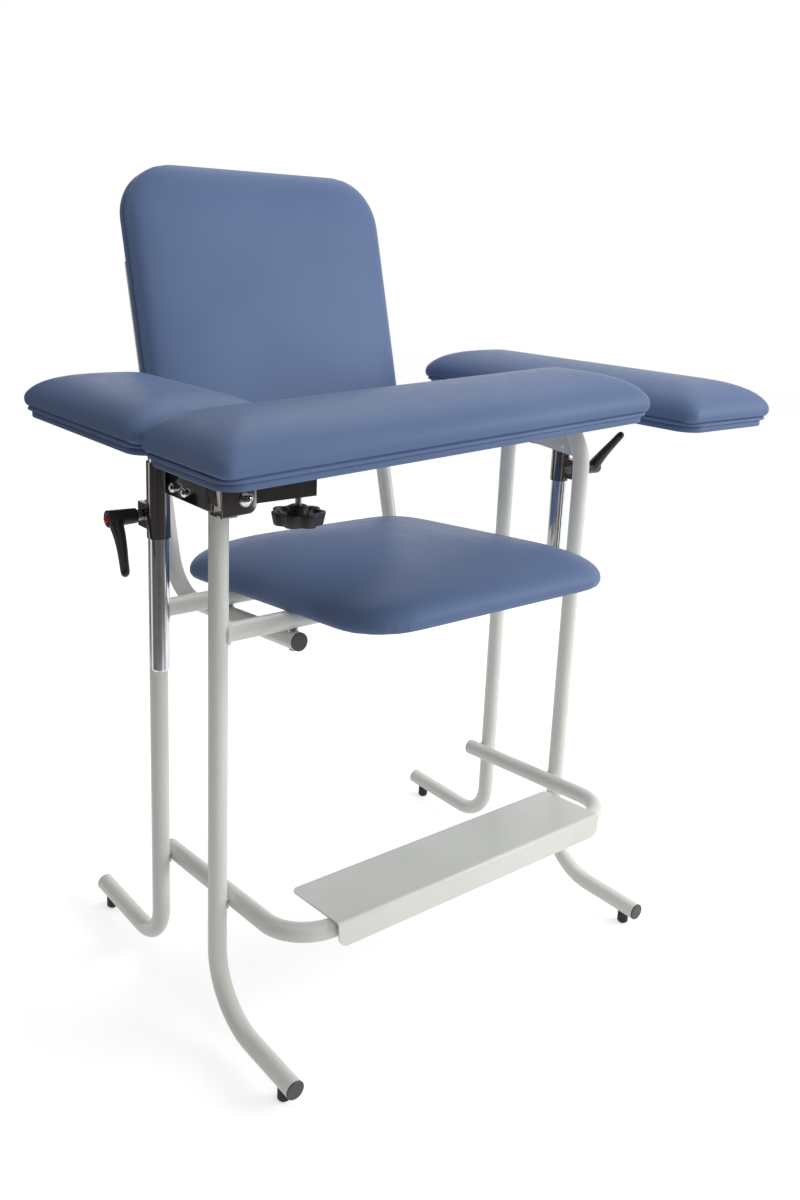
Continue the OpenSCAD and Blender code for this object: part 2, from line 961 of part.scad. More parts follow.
module clamp_screw(side) {
  screw_start = slit / 2 + lug_t + clamp_nut_h;
  color(steel)
    support(side)
      translate([0, -clamp_reach, clamp_z])
        rotate([0, 90, 0]) {
          translate([0, 0, -screw_start])
            cylinder(d = clamp_screw_d, h = screw_start + hub_start + hub_len / 2);
          translate([0, 0, hub_start - collar_len + hub_gap])
            cylinder(d = collar_d, h = collar_len - hub_gap);
        }
}

module button(side) {
  color(signal_red)
    lever_place(side)
      translate([hub_len - button_in, 0, 0])
        rotate([0, 90, 0]) {
          cylinder(d = button_d, h = button_in + button_out - cap_edge);
          translate([0, 0, button_in + button_out - cap_edge])
            cylinder(d1 = button_d, d2 = button_d - 2 * cap_edge, h = cap_edge);
        }
}

// Arm heads: a spigot that turns in the post, a collar and a flange let into the board
module flange_screw_places() {
  for (turn = [45 : 90 : 315])
    rotate([0, 0, turn])
      translate([flange_screw_reach, 0, arm_z])
        children();
}

module flange_screw(extra = 0) {
  head_h = (flange_screw_head - flange_screw_d) / 2;
  cylinder(d1 = flange_screw_head, d2 = flange_screw_d, h = head_h);
  cylinder(d = flange_screw_d, h = flange_screw_h + extra);
}

module arm_head(side) {
  color(steel)
    support(side)
      difference() {
        union() {
          translate([0, 0, post_top - spigot_h])
            cylinder(d = post_bore - 2 * running, h = spigot_h + collar_h);
          translate([0, 0, post_top + face_gap])
            cylinder(d = post_d, h = collar_h - face_gap);
          translate([0, 0, arm_z])
            cylinder(d = flange_d, h = flange_t);
        }
        flange_screw_places()
          flange_screw(overrun);
      }
}

module flange_screws(side) {
  color(steel)
    support(side)
      flange_screw_places()
        flange_screw();
}

// Arm pads: low and high ends along Y from the midline
module arm_board(side, front, rear) {
  color(vinyl)
    difference() {
      chair()
        translate([side * arm_x, (rear - front) / 2, arm_z])
          linear_extrude(arm_board_t)
            round_rect(arm_w - 2 * arm_board_inset, rear + front - 2 * arm_board_inset, arm_board_corner);
      support(side) {
        translate([0, 0, arm_z - overrun])
          cylinder(d = flange_d + 2 * hole_fit, h = flange_t + overrun);
        flange_screw_places()
          cylinder(d = flange_screw_d, h = flange_screw_h);
      }
      if (side < 0)
        chair()
          flange_row_places()
            translate([0, 0, -strap_t - bolt_bite])
              cylinder(d = flange_screw_d, h = strap_t + bolt_bite + overrun);
    }
}

module arm_cushion(side, front, rear) {
  color(vinyl)
    chair()
      translate([side * arm_x, (rear - front) / 2, arm_z + arm_board_t])
        cushion(arm_w, rear + front, arm_corner, arm_side_h, arm_crown, arm_bulge, arm_roll, arm_tuck, arm_draw);
}

// Angle strap under the left arm, from behind the collar forwards to the pivot bar
strap_x = -(post_x + strap_out);
strap_step_y = left_arm_front - arm_board_inset - overrun;
strap_tall = arm_z - pivot_z + strap_low;
strap_front_h = strap_low + strap_over;

module arm_strap() {
  color(steel)
    chair()
      difference() {
        union() {
          translate([strap_x, -strap_step_y, pivot_z - strap_low])
            cube([strap_t, strap_step_y - strap_rear, strap_tall]);
          translate([strap_x, -bar_front, pivot_z - strap_low])
            cube([strap_t, bar_front - strap_step_y + overrun, strap_front_h]);
          translate([strap_x + strap_t - strap_flange, -strap_step_y, arm_z - strap_t])
            cube([strap_flange, strap_step_y - strap_rear, strap_t]);
        }
        strap_screw_places()
          cylinder(d = bolt_d + 2 * hole_fit, h = 4 * strap_t, center = true);
        flange_row_places()
          cylinder(d = flange_screw_d + 2 * hole_fit, h = 4 * strap_t, center = true);
      }
}

// Screws through the strap's side, and the row up through its flange
module strap_screw_places() {
  for (y = strap_screw_ys)
    translate([strap_x, -y, pivot_z - strap_low / 2])
      rotate([0, -90, 0])
        children();
}

module flange_row_places() {
  for (y = [strap_rear + flange_row_inset, strap_step_y - flange_row_inset])
    translate([strap_x + strap_t - strap_flange / 2, -y, arm_z - strap_t])
      rotate([180, 0, 0])
        children();
}

module strap_screws() {
  color(steel)
    chair() {
      strap_screw_places()
        dome_screw(bolt_d, strap_t + nut_h, strap_screw_d, strap_screw_h);
      flange_row_places()
        dome_screw(flange_screw_d, strap_t + bolt_bite, flange_screw_head, bolt_head_h);
    }
}

// Square bar that carries the pivot and the levelling stud
module pivot_bar() {
  color(steel)
    chair()
      difference() {
        translate([strap_x + strap_t, -bar_front, pivot_z - bar_below])
          cube([bar_len, bar_size, bar_size]);
        translate([pivot_x, 0, pivot_z])
          rotate([90, 0, 0])
            cylinder(d = pivot_d, h = bar_front + overrun);
        translate([pivot_x + stud_x, -stud_y, pivot_z - bar_size])
          cylinder(d = stud_d + 2 * running, h = 2 * bar_size);
      }
}

module pivot_screw() {
  color(steel)
    chair()
      translate([pivot_x, -bar_front - ear_gap - ear_t - face_gap, pivot_z])
        rotate([90, 0, 0])
          dome_screw(pivot_d, bar_size / 2 + ear_gap + ear_t, pivot_head_d, pivot_head_h);
}

// Frame of the cross arm: origin at the pivot, +X along the arm
module cross_frame() {
  chair()
    translate([pivot_x, 0, pivot_z])
      rotate([0, -cross_tilt, 0])
        children();
}
cross_mid_x = cross_len / 2 - (cross_out + pivot_in);

module cross_screw_places() {
  for (x = hinge_screw_xs)
    for (y = [hinge_screw_inset, hinge_plate_w - hinge_screw_inset])
      translate([x, -hinge_plate_rear - y, pivot_drop - hinge_plate_t])
        rotate([180, 0, 0])
          children();
}

module cross_hinge() {
  color(steel)
    cross_frame()
      difference() {
        union() {
          translate([-hinge_plate_left, -hinge_plate_rear - hinge_plate_w, pivot_drop - hinge_plate_t])
            cube([hinge_plate_len, hinge_plate_w, hinge_plate_t]);
          translate([-ear_left, -bar_front - ear_gap - ear_t, -ear_low])
            cube([ear_left + ear_right, ear_t, ear_low + pivot_drop - hinge_plate_t]);
        }
        rotate([90, 0, 0])
          cylinder(d = pivot_d + 2 * running, h = cross_front);
        cross_screw_places()
          cylinder(d = flange_screw_d + 2 * hole_fit, h = 4 * hinge_plate_t, center = true);
      }
}

module cross_screws() {
  color(steel)
    cross_frame()
      cross_screw_places()
        dome_screw(flange_screw_d, hinge_plate_t + bolt_bite, flange_screw_head, bolt_head_h);
}

module cross_board() {
  color(vinyl)
    cross_frame()
      difference() {
        translate([cross_mid_x, cross_w / 2 - cross_front, pivot_drop])
          linear_extrude(arm_board_t)
            round_rect(cross_len - 2 * arm_board_inset, cross_w - 2 * arm_board_inset, arm_board_corner);
        cross_screw_places()
          translate([0, 0, -hinge_plate_t - bolt_bite])
            cylinder(d = flange_screw_d, h = bolt_bite + hinge_plate_t + overrun);
      }
}

module cross_cushion() {
  color(vinyl)
    cross_frame()
      translate([cross_mid_x, cross_w / 2 - cross_front, pivot_drop + arm_board_t])
        cushion(cross_len, cross_w, arm_corner, arm_side_h, arm_crown, arm_bulge, arm_roll, arm_tuck, arm_draw);
}

// Star knob on its stud
knob_top = pivot_z - bar_below - knob_drop;

module star_knob() {
  color(black)
    chair()
      translate([pivot_x + stud_x, -stud_y, knob_top - knob_h]) {
        difference() {
          union() {
            linear_extrude(knob_h)
              union() {
                circle(d = knob_d - lobe_d);
                for (i = [1 : knob_lobes])
                  rotate(360 * i / knob_lobes)
                    translate([(knob_d - lobe_d) / 2, 0])
                      circle(d = lobe_d);
              }
            translate([0, 0, knob_h])
              cylinder(d1 = knob_boss_d, d2 = knob_neck_d, h = knob_boss_h);
          }
          translate([0, 0, knob_h / 2])
            cylinder(d = stud_d, h = knob_h + knob_boss_h);
        }
      }
}

module knob_stud() {
  under = (pivot_drop - hinge_plate_t + (stud_x - stud_d / 2) * sin(cross_tilt)) / cos(cross_tilt);
  color(steel)
    chair()
      translate([pivot_x + stud_x, -stud_y, knob_top - knob_h / 2])
        cylinder(d = stud_d, h = pivot_z + under - face_gap - knob_top + knob_h / 2);
}

side_frame(-1);  // side_frame_left
side_frame(1);  // side_frame_right
foot_caps();
glides();
gusset(-1);  // gusset_left
gusset(1);  // gusset_right
foot_rail();
rail_caps();
footplate();
seat_tube(seat_tube_ys[0], -hoop_r);  // seat_tube_front
seat_tube(seat_tube_ys[1], hoop_r);  // seat_tube_rear
back_tube(-1);  // back_tube_left
back_tube(1);  // back_tube_right
back_tube_caps();
seat_spacers();
seat_bolts();
seat_board();
seat_cushion();
back_bolts();
back_board();
back_cushion();
clamp_sleeve(-1);  // clamp_sleeve_left
clamp_sleeve(1);  // clamp_sleeve_right
sleeve_bolts();
sleeve_nuts();
clamp_nuts();
post(-1);  // post_left
post(1);  // post_right
post_plug(-1);  // post_plug_left
post_plug(1);  // post_plug_right
lever(-1);  // lever_left
lever(1);  // lever_right
clamp_screw(-1);  // clamp_screw_left
clamp_screw(1);  // clamp_screw_right
button(-1);  // button_left
button(1);  // button_right
arm_head(-1);  // arm_head_left
arm_head(1);  // arm_head_right
flange_screws(-1);  // flange_screws_left
flange_screws(1);  // flange_screws_right
arm_board(-1, left_arm_front, left_arm_rear);  // arm_board_left
arm_board(1, right_arm_front, right_arm_rear);  // arm_board_right
arm_cushion(-1, left_arm_front, left_arm_rear);  // arm_cushion_left
arm_cushion(1, right_arm_front, right_arm_rear);  // arm_cushion_right
arm_strap();
pivot_bar();
strap_screws();
pivot_screw();
cross_hinge();
cross_board();
cross_screws();
cross_cushion();
star_knob();
knob_stud();
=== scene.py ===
# %% [markdown]
# # A blood-draw chair
# The chair's frame, tubes, plates, posts and screws come in as finished meshes. This lesson gives
# them paint, chrome and plastic, and makes the padded parts, the knob and the levers over them.
# Everything is in metres, in the same place as the built parts, so nothing has to be fitted.

# %% Load the frame
import bpy
import bmesh
import math
from mathutils import Matrix, Vector


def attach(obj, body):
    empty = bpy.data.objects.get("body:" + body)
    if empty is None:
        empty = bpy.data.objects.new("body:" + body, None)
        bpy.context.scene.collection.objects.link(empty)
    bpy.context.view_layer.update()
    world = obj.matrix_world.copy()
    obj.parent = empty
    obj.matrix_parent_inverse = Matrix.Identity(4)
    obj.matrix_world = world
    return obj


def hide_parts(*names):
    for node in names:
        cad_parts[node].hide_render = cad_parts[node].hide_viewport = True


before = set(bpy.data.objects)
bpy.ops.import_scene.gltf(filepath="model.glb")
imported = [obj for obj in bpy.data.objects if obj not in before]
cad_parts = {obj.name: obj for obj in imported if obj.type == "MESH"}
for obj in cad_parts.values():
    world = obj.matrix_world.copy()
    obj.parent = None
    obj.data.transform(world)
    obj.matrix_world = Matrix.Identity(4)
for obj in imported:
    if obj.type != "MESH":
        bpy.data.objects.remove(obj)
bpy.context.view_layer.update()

# %% [markdown]
# ## Small helpers for modelling by hand
# An operator acts on everything that is selected, so each piece starts with nothing selected.
# Faces and edges are picked in code by where they are or which way they face.
# Sizes are written in millimetres, as on a drawing, and MM turns them into metres.

# %% Select, pick and start a block
MM = 0.001


def deselect():
    if bpy.context.mode != "OBJECT":
        bpy.ops.object.mode_set(mode="OBJECT")
    bpy.ops.object.select_all(action="DESELECT")


def make_active(piece):
    deselect()
    piece.select_set(True)
    bpy.context.view_layer.objects.active = piece


def name_new(name):
    piece = bpy.context.object
    piece.name = name
    piece.data.name = name
    return piece


def settle(piece):
    make_active(piece)
    bpy.ops.object.transform_apply(location=True, rotation=True, scale=True)
    return piece


def start_block(name, low, high):
    deselect()
    size = [b - a for a, b in zip(low, high)]
    middle = [(a + b) / 2 for a, b in zip(low, high)]
    bpy.ops.mesh.primitive_cube_add(size=1, location=middle)
    piece = name_new(name)
    piece.scale = size
    return settle(piece)


def start_disc(name, radius, height, corners=48):
    deselect()
    bpy.ops.mesh.primitive_cylinder_add(vertices=corners, radius=radius, depth=height)
    return settle(name_new(name))


def edit(piece, kind="FACE"):
    make_active(piece)
    bpy.ops.object.mode_set(mode="EDIT")
    bpy.ops.mesh.select_mode(type=kind)
    bpy.ops.mesh.select_all(action="DESELECT")


def pick_faces(piece, test):
    bpy.ops.mesh.select_mode(type="FACE")
    bpy.ops.mesh.select_all(action="DESELECT")
    mesh = bmesh.from_edit_mesh(piece.data)
    for face in mesh.faces:
        if test(face.calc_center_median(), face.normal):
            face.select_set(True)
    mesh.select_flush_mode()
    bmesh.update_edit_mesh(piece.data)


def pick_edges(piece, test):
    bpy.ops.mesh.select_mode(type="EDGE")
    bpy.ops.mesh.select_all(action="DESELECT")
    mesh = bmesh.from_edit_mesh(piece.data)
    for edge in mesh.edges:
        if test(edge.verts[0].co, edge.verts[1].co):
            edge.select_set(True)
    bmesh.update_edit_mesh(piece.data)


def leave_edit():
    bpy.ops.object.mode_set(mode="OBJECT")


def use_modifier(piece, kind, **values):
    make_active(piece)
    modifier = piece.modifiers.new(kind.title(), kind)
    for key, value in values.items():
        setattr(modifier, key, value)
    bpy.ops.object.modifier_apply(modifier=modifier.name)


def smooth(piece, angle=40):
    make_active(piece)
    bpy.ops.object.shade_smooth_by_angle(angle=math.radians(angle))


def put(piece, at):
    piece.data.transform(at)
    piece.data.update()


def copy_piece(piece, name):
    twin = piece.copy()
    twin.data = piece.data.copy()
    twin.name = name
    twin.data.name = name
    bpy.context.scene.collection.objects.link(twin)
    return twin


print("helpers ready")

# %% [markdown]
# ## The photograph's camera
# The photographer stood at the chair's front left corner, about 1.6 m from its middle.
# The lens looks slightly down and is turned a little about its own axis.
# A small shift stands for the crop of the picture.

# %% Camera
turn, rise, roll = (math.radians(a) for a in (-38.78, 13.97, 2.36))
back = Vector((
    math.sin(turn) * math.cos(rise),
    -math.cos(turn) * math.cos(rise),
    math.sin(rise),
))
right = Vector((math.cos(turn), math.sin(turn), 0))
up = back.cross(right)
right, up = (
    right * math.cos(roll) + up * math.sin(roll),
    up * math.cos(roll) - right * math.sin(roll),
)
lens = bpy.data.cameras.new("camera")
lens.sensor_width = 36
lens.lens = 32.87
lens.shift_x = 0.011
lens.shift_y = -0.0705
camera = bpy.data.objects.new("camera", lens)
camera.matrix_world = Matrix((
    (right.x, up.x, back.x, -0.9735),
    (right.y, up.y, back.y, -1.2477),
    (right.z, up.z, back.z, 1.0492),
    (0, 0, 0, 1),
))
bpy.context.scene.collection.objects.link(camera)
bpy.context.scene.camera = camera
print("camera at", [round(v, 3) for v in camera.matrix_world.translation])

# %% [markdown]
# ## Finishes
# A finish is a small set of nodes: a base colour with slow changes, a roughness that is never the
# same everywhere, and a fine bump. They read Object coordinates, which are metres here, so a grain
# has its real size on every piece.

# %% Node helpers
def linear(red, green, blue):
    return tuple(
        c / 12.92 if c <= 0.04045 else ((c + 0.055) / 1.055) ** 2.4
        for c in (red / 255, green / 255, blue / 255)
    ) + (1,)


def new_finish(name, colour, **sockets):
    finish = bpy.data.materials.new(name)
    finish.use_nodes = True
    finish.diffuse_color = colour
    shader = finish.node_tree.nodes["Principled BSDF"]
    shader.inputs["Base Color"].default_value = colour
    for key, value in sockets.items():
        shader.inputs[key.replace("_", " ")].default_value = value
    return finish, finish.node_tree, shader


def place_node(tree):
    found = tree.nodes.get("Texture Coordinate")
    node = found or tree.nodes.new("ShaderNodeTexCoord")
    return node.outputs["Object"]


def noise(tree, scale, detail=2, rough=0.5):
    node = tree.nodes.new("ShaderNodeTexNoise")
    node.inputs["Scale"].default_value = scale
    node.inputs["Detail"].default_value = detail
    node.inputs["Roughness"].default_value = rough
    tree.links.new(place_node(tree), node.inputs["Vector"])
    return node.outputs["Fac"]


def cells(tree, scale):
    node = tree.nodes.new("ShaderNodeTexVoronoi")
    node.feature = "SMOOTH_F1"
    node.inputs["Scale"].default_value = scale
    tree.links.new(place_node(tree), node.inputs["Vector"])
    return node.outputs["Distance"]


def spread(tree, value, low, high, start=0.3, end=0.7):
    node = tree.nodes.new("ShaderNodeMapRange")
    node.inputs["From Min"].default_value = start
    node.inputs["From Max"].default_value = end
    node.inputs["To Min"].default_value = low
    node.inputs["To Max"].default_value = high
    tree.links.new(value, node.inputs["Value"])
    return node.outputs["Result"]


def tints(tree, value, first, second, start=0.35, end=0.65):
    node = tree.nodes.new("ShaderNodeValToRGB")
    node.color_ramp.elements[0].position = start
    node.color_ramp.elements[0].color = first
    node.color_ramp.elements[1].position = end
    node.color_ramp.elements[1].color = second
    tree.links.new(value, node.inputs["Fac"])
    return node.outputs["Color"]


def bump(tree, height, strength, depth, under=None):
    node = tree.nodes.new("ShaderNodeBump")
    node.inputs["Strength"].default_value = strength
    node.inputs["Distance"].default_value = depth
    tree.links.new(height, node.inputs["Height"])
    if under is not None:
        tree.links.new(under, node.inputs["Normal"])
    return node.outputs["Normal"]


def finish_with(tree, shader, colour=None, roughness=None, normal=None):
    for socket, value in (("Base Color", colour), ("Roughness", roughness), ("Normal", normal)):
        if value is not None:
            tree.links.new(value, shader.inputs[socket])


print("node helpers ready")

# %% [markdown]
# ## Vinyl
# Upholstery vinyl is a smooth plastic skin on cloth with a very fine leather grain.
# It has a soft broad shine. Small cells make the grain, and a slow noise lets the colour drift
# by a few per cent, as a stretched skin does.

# %% Vinyl
vinyl, tree, shader = new_finish(
    "vinyl", linear(101, 121, 159), Coat_Weight=0.02, Coat_Roughness=0.34, Specular_IOR_Level=0.13
)
grain = bump(tree, cells(tree, 900), 0.16, 0.0002)
skin = bump(tree, noise(tree, 28, 3), 0.1, 0.002, under=grain)
finish_with(
    tree,
    shader,
    colour=tints(tree, noise(tree, 5, 2), linear(98, 118, 156), linear(104, 124, 162)),
    roughness=spread(tree, noise(tree, 60, 3), 0.38, 0.46),
    normal=skin,
)
print("vinyl:", vinyl.name)

# %% [markdown]
# ## Frame paint
# The tubes are powder coated in a warm light grey. Powder flows into a faint orange peel, and it
# is a little glossier where it lies thick.

# %% Paint
paint, tree, shader = new_finish("paint", linear(231, 232, 225), Coat_Weight=0.4, Coat_Roughness=0.12)
finish_with(
    tree,
    shader,
    colour=tints(tree, noise(tree, 9, 3), linear(228, 229, 222), linear(234, 235, 228)),
    roughness=spread(tree, noise(tree, 120, 2), 0.34, 0.44),
    normal=bump(tree, noise(tree, 420, 2), 0.14, 0.0003),
)
print("paint:", paint.name)

# %% [markdown]
# ## Chrome and zinc
# Chrome is a mirror, so most of its look is what stands around it. Slow changes in its shine and a
# very fine bump keep it from being perfect. The sleeves, the pivot bar, the strap and the hinge ear
# are the same chrome with a darker base colour, which is a painted dark reflection of the shade they
# mirror. Zinc on nuts and screws is a similar metal with a soft cloudy shine.

# %% Metals
chrome, tree, shader = new_finish("chrome", linear(214, 216, 220), Metallic=1)
finish_with(
    tree,
    shader,
    roughness=spread(tree, noise(tree, 34, 4), 0.12, 0.2),
    normal=bump(tree, noise(tree, 900, 2), 0.02, 0.0002),
)

# Painted dark reflection: chrome with a darker base colour, standing in for the shade these parts
# mirror.
chrome_painted_dark_reflection, tree, shader = new_finish("chrome_painted_dark_reflection", linear(142, 139, 138), Metallic=1)
finish_with(
    tree,
    shader,
    roughness=spread(tree, noise(tree, 34, 4), 0.06, 0.14),
    normal=bump(tree, noise(tree, 260, 3), 0.05, 0.0004),
)

zinc, tree, shader = new_finish("zinc", linear(188, 190, 194), Metallic=1)
finish_with(
    tree,
    shader,
    colour=tints(tree, noise(tree, 80, 3), linear(178, 180, 184), linear(198, 200, 204)),
    roughness=spread(tree, noise(tree, 120, 3), 0.18, 0.32),
    normal=bump(tree, noise(tree, 700, 2), 0.05, 0.0002),
)
print("metals:", chrome.name, zinc.name)

# %% [markdown]
# ## Plastics, rubber and cloth
# The levers and the knob are moulded black plastic with a fine spark-eroded grain. The end caps
# are a matt dark grey plastic, the glides are rubber, and the push buttons are glossy red.
# The undersides of the arm pads are closed with a thin black cloth of pressed fibres.

# %% Plastics, rubber and cloth
def moulded(name, colour, low, high, grain_scale, depth, strength=0.3):
    finish, tree, shader = new_finish(name, colour)
    finish_with(
        tree,
        shader,
        roughness=spread(tree, noise(tree, 90, 3), low, high),
        normal=bump(tree, cells(tree, grain_scale), strength, depth),
    )
    return finish


black_plastic = moulded("black_plastic", linear(38, 38, 40), 0.34, 0.46, 1500, 0.0001, 0.35)
cap_plastic = moulded("cap_plastic", linear(84, 82, 82), 0.45, 0.6, 1100, 0.0001)
rubber = moulded("rubber", linear(34, 34, 35), 0.6, 0.75, 700, 0.0002)
red_plastic = moulded("red_plastic", linear(196, 52, 58), 0.22, 0.3, 900, 0.0001, 0.05)

dust_cloth, tree, shader = new_finish("dust_cloth", linear(30, 30, 32))
finish_with(
    tree,
    shader,
    colour=tints(tree, noise(tree, 600, 4), linear(22, 22, 24), linear(42, 42, 45)),
    roughness=spread(tree, noise(tree, 50, 3), 0.8, 0.95),
    normal=bump(tree, noise(tree, 1400, 3), 0.5, 0.0004),
)
print("plastics ready")

# %% [markdown]
# ## Give the built parts their finishes
# These parts already have their right shape, so only their material slots change.

# %% Dress the built parts
def dress(finish, *names):
    for name in names:
        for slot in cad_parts[name].material_slots:
            slot.material = finish


dress(
    paint,
    "side_frame_left", "side_frame_right", "gusset_left", "gusset_right", "foot_rail",
    "footplate", "seat_tube_front", "seat_tube_rear", "back_tube_left", "back_tube_right",
    "sleeve_bolts",
)
dress(cap_plastic, "foot_caps", "rail_caps", "back_tube_caps")
dress(rubber, "glides")
dress(
    zinc,
    "seat_spacers", "seat_bolts", "back_bolts", "sleeve_nuts", "clamp_nuts",
    "clamp_screw_left", "clamp_screw_right", "flange_screws_left", "flange_screws_right",
    "cross_screws", "knob_stud",
)
dress(
    chrome,
    "post_left", "post_right", "post_plug_left", "post_plug_right",
    "arm_head_left", "arm_head_right", "strap_screws", "pivot_screw",
)
# The sleeves and the pivot bar get the chrome with the painted dark reflection.
dress(chrome_painted_dark_reflection, "clamp_sleeve_left", "clamp_sleeve_right", "pivot_bar")
dress(red_plastic, "button_left", "button_right")
print("dressed", len(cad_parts), "nodes")

# %% [markdown]
# ## Where the padded parts sit
# Each pad is modelled lying flat at the origin with its board's underside at height zero, and is
# then put in its place on the chair: the seat slopes back by 5 degrees, the backrest leans back,
# and the cross arm rises slightly from its pivot. The main places of the frame are named here.

# %% Main places
MIDLINE = -33.234
FRAME_X = 325
TUBE_R = 12.7
LEG_Y = 81.6
POST_X = FRAME_X + 39.4
ARM_X = 366
PIVOT_X = -346
PIVOT_Z = 763
SEAT_TILT = 5
SEAT_Z = 572


def place(x=0, y=0, z=0):
    return Matrix.Translation(Vector((x, y, z)) * MM)


def turned(angle, axis):
    return Matrix.Rotation(math.radians(angle), 4, axis)


seat_place = place(0, MIDLINE, SEAT_Z) @ turned(-SEAT_TILT, "X")
back_place = seat_place @ place(0, 242.5, -40.6) @ turned(79.6, "X")
cross_place = place(PIVOT_X, MIDLINE, PIVOT_Z) @ turned(-2.7, "Y")
print("places ready")

# %% [markdown]
# ## Rings: one way to shape every pad
# A pad starts as a block whose four upright edges are bevelled into round corners. Then its top
# face is extruded again and again. Each new ring is drawn in towards the middle and lifted, so
# the rings draw the pad's side view: foot, bulge and crown.

# %% Pad block and rings
def pad_block(name, width, length, corner, rings):
    first_in, first_z = rings[0]
    next_z = rings[1][1]
    w, l = width / 2 - first_in, length / 2 - first_in
    piece = start_block(name, (-w * MM, -l * MM, first_z * MM), (w * MM, l * MM, next_z * MM))
    edit(piece, "EDGE")
    pick_edges(piece, lambda a, b: abs(a.z - b.z) > 1e-6)
    bpy.ops.mesh.bevel(offset=(corner - first_in) * MM, segments=12, profile=0.5)
    pick_faces(piece, lambda c, n: n.z > 0.9)
    now, last_z = first_in, next_z
    for number, (inset, height) in enumerate(rings[1:]):
        if number:
            bpy.ops.mesh.extrude_region_move(
                TRANSFORM_OT_translate={"value": (0, 0, (height - last_z) * MM)}
            )
        share_x = (width / 2 - inset) / (width / 2 - now)
        share_y = (length / 2 - inset) / (length / 2 - now)
        bpy.ops.transform.resize(value=(share_x, share_y, 1), center_override=(0, 0, 0))
        now, last_z = inset, height
    leave_edit()
    return piece


def crowned(foot, bulge_z, top_z, power, half, shrink):
    """Side view of a cushion: its foot, then one round curve from the bulge to the crown."""
    steps = 14
    rings = [(inset + shrink, z) for inset, z in foot]
    rings.append((shrink, bulge_z))
    for step in range(1, steps):
        u = 1 - math.cos(math.radians(90 * step / steps))
        rise = (1 - (1 - u) ** power) ** (1 / power)
        rings.append((shrink + (half - shrink) * u, bulge_z + (top_z - bulge_z) * rise))
    return rings


# %% [markdown]
# ## Stuffing a cover
# Real covers are pulled over foam that presses out from inside. The cover is remeshed into small
# even faces, and a cloth simulation with a little air pressure swells it. Its foot is pinned
# where it is stapled to the board. The foam holds most of the shape, so each point goes straight
# out for most of a set distance, and only the rest of its way comes from the simulation, which
# brings the faint pulls and hollows. The crown is softened first, which rounds the ridges at the
# corners. Then the whole surface is relaxed and divided once for its shine.

# %% Swell a cover
SIM_SHARE = 0.14
SIM_FRAMES = 20
CROWN_START = 16


def stuff(piece, voxel, cap, pinned_below, relax=6, soften=11):
    make_active(piece)
    piece.data.remesh_voxel_size = voxel * MM
    piece.data.remesh_voxel_adaptivity = 0
    bpy.ops.object.voxel_remesh()
    edit(piece, "VERT")
    bpy.ops.mesh.select_all(action="SELECT")
    bpy.ops.mesh.vertices_smooth(factor=0.5, repeat=3)
    leave_edit()
    rest = [v.co.copy() for v in piece.data.vertices]
    group = piece.vertex_groups.new(name="stapled")
    group.add([i for i, co in enumerate(rest) if co.z < pinned_below * MM], 1, "ADD")
    normals = [v.normal.copy() for v in piece.data.vertices]
    filled = [
        co if co.z < pinned_below * MM else co + n * cap * MM for co, n in zip(rest, normals)
    ]
    swollen = filled
    cloth = piece.modifiers.new("Cloth", "CLOTH")
    cloth.settings.vertex_group_mass = "stapled"
    cloth.settings.use_pressure = True
    cloth.settings.uniform_pressure_force = 4
    cloth.settings.effector_weights.gravity = 0
    cloth.settings.quality = 5
    cloth.point_cache.frame_start = 1
    cloth.point_cache.frame_end = SIM_FRAMES
    scene = bpy.context.scene
    for number in range(1, SIM_FRAMES + 1):
        scene.frame_set(number)
    shown = piece.evaluated_get(bpy.context.evaluated_depsgraph_get())
    swollen = [v.co.copy() for v in shown.data.vertices]
    piece.modifiers.remove(cloth)
    scene.frame_set(1)
    furthest = 0
    for vertex, a, b, c in zip(piece.data.vertices, rest, swollen, filled):
        step = b - a
        if step.length > cap * MM:
            step *= cap * MM / step.length
        furthest = max(furthest, step.length)
        vertex.co = (a + step) * SIM_SHARE + c * (1 - SIM_SHARE)
    edit(piece, "VERT")
    mesh = bmesh.from_edit_mesh(piece.data)
    for vertex, a in zip(mesh.verts, rest):
        vertex.select_set(a.z > (pinned_below + CROWN_START) * MM)
    bmesh.update_edit_mesh(piece.data)
    bpy.ops.mesh.vertices_smooth(factor=0.5, repeat=soften)
    bpy.ops.mesh.select_all(action="SELECT")
    bpy.ops.mesh.vertices_smooth(factor=0.5, repeat=relax)
    leave_edit()
    use_modifier(piece, "SUBSURF", levels=1, render_levels=1)
    piece.vertex_groups.clear()
    smooth(piece, 80)
    print(piece.name, "moved", round(furthest / MM, 1), "mm,", len(piece.data.polygons), "faces")


def finish_piece(piece, finish, body, at=None):
    if at is not None:
        put(piece, at)
    piece.data.materials.clear()
    piece.data.materials.append(finish)
    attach(piece, body)


# %% [markdown]
# ## Arm pads
# An arm pad is a foam cushion on a board. The cover comes down to a dark seam line, under it is a
# narrow ridge where the skin turns over the board's edge, and then a thin band that is drawn in
# further. The cushion overhangs both. It is one piece, and the band with its ridge is another.

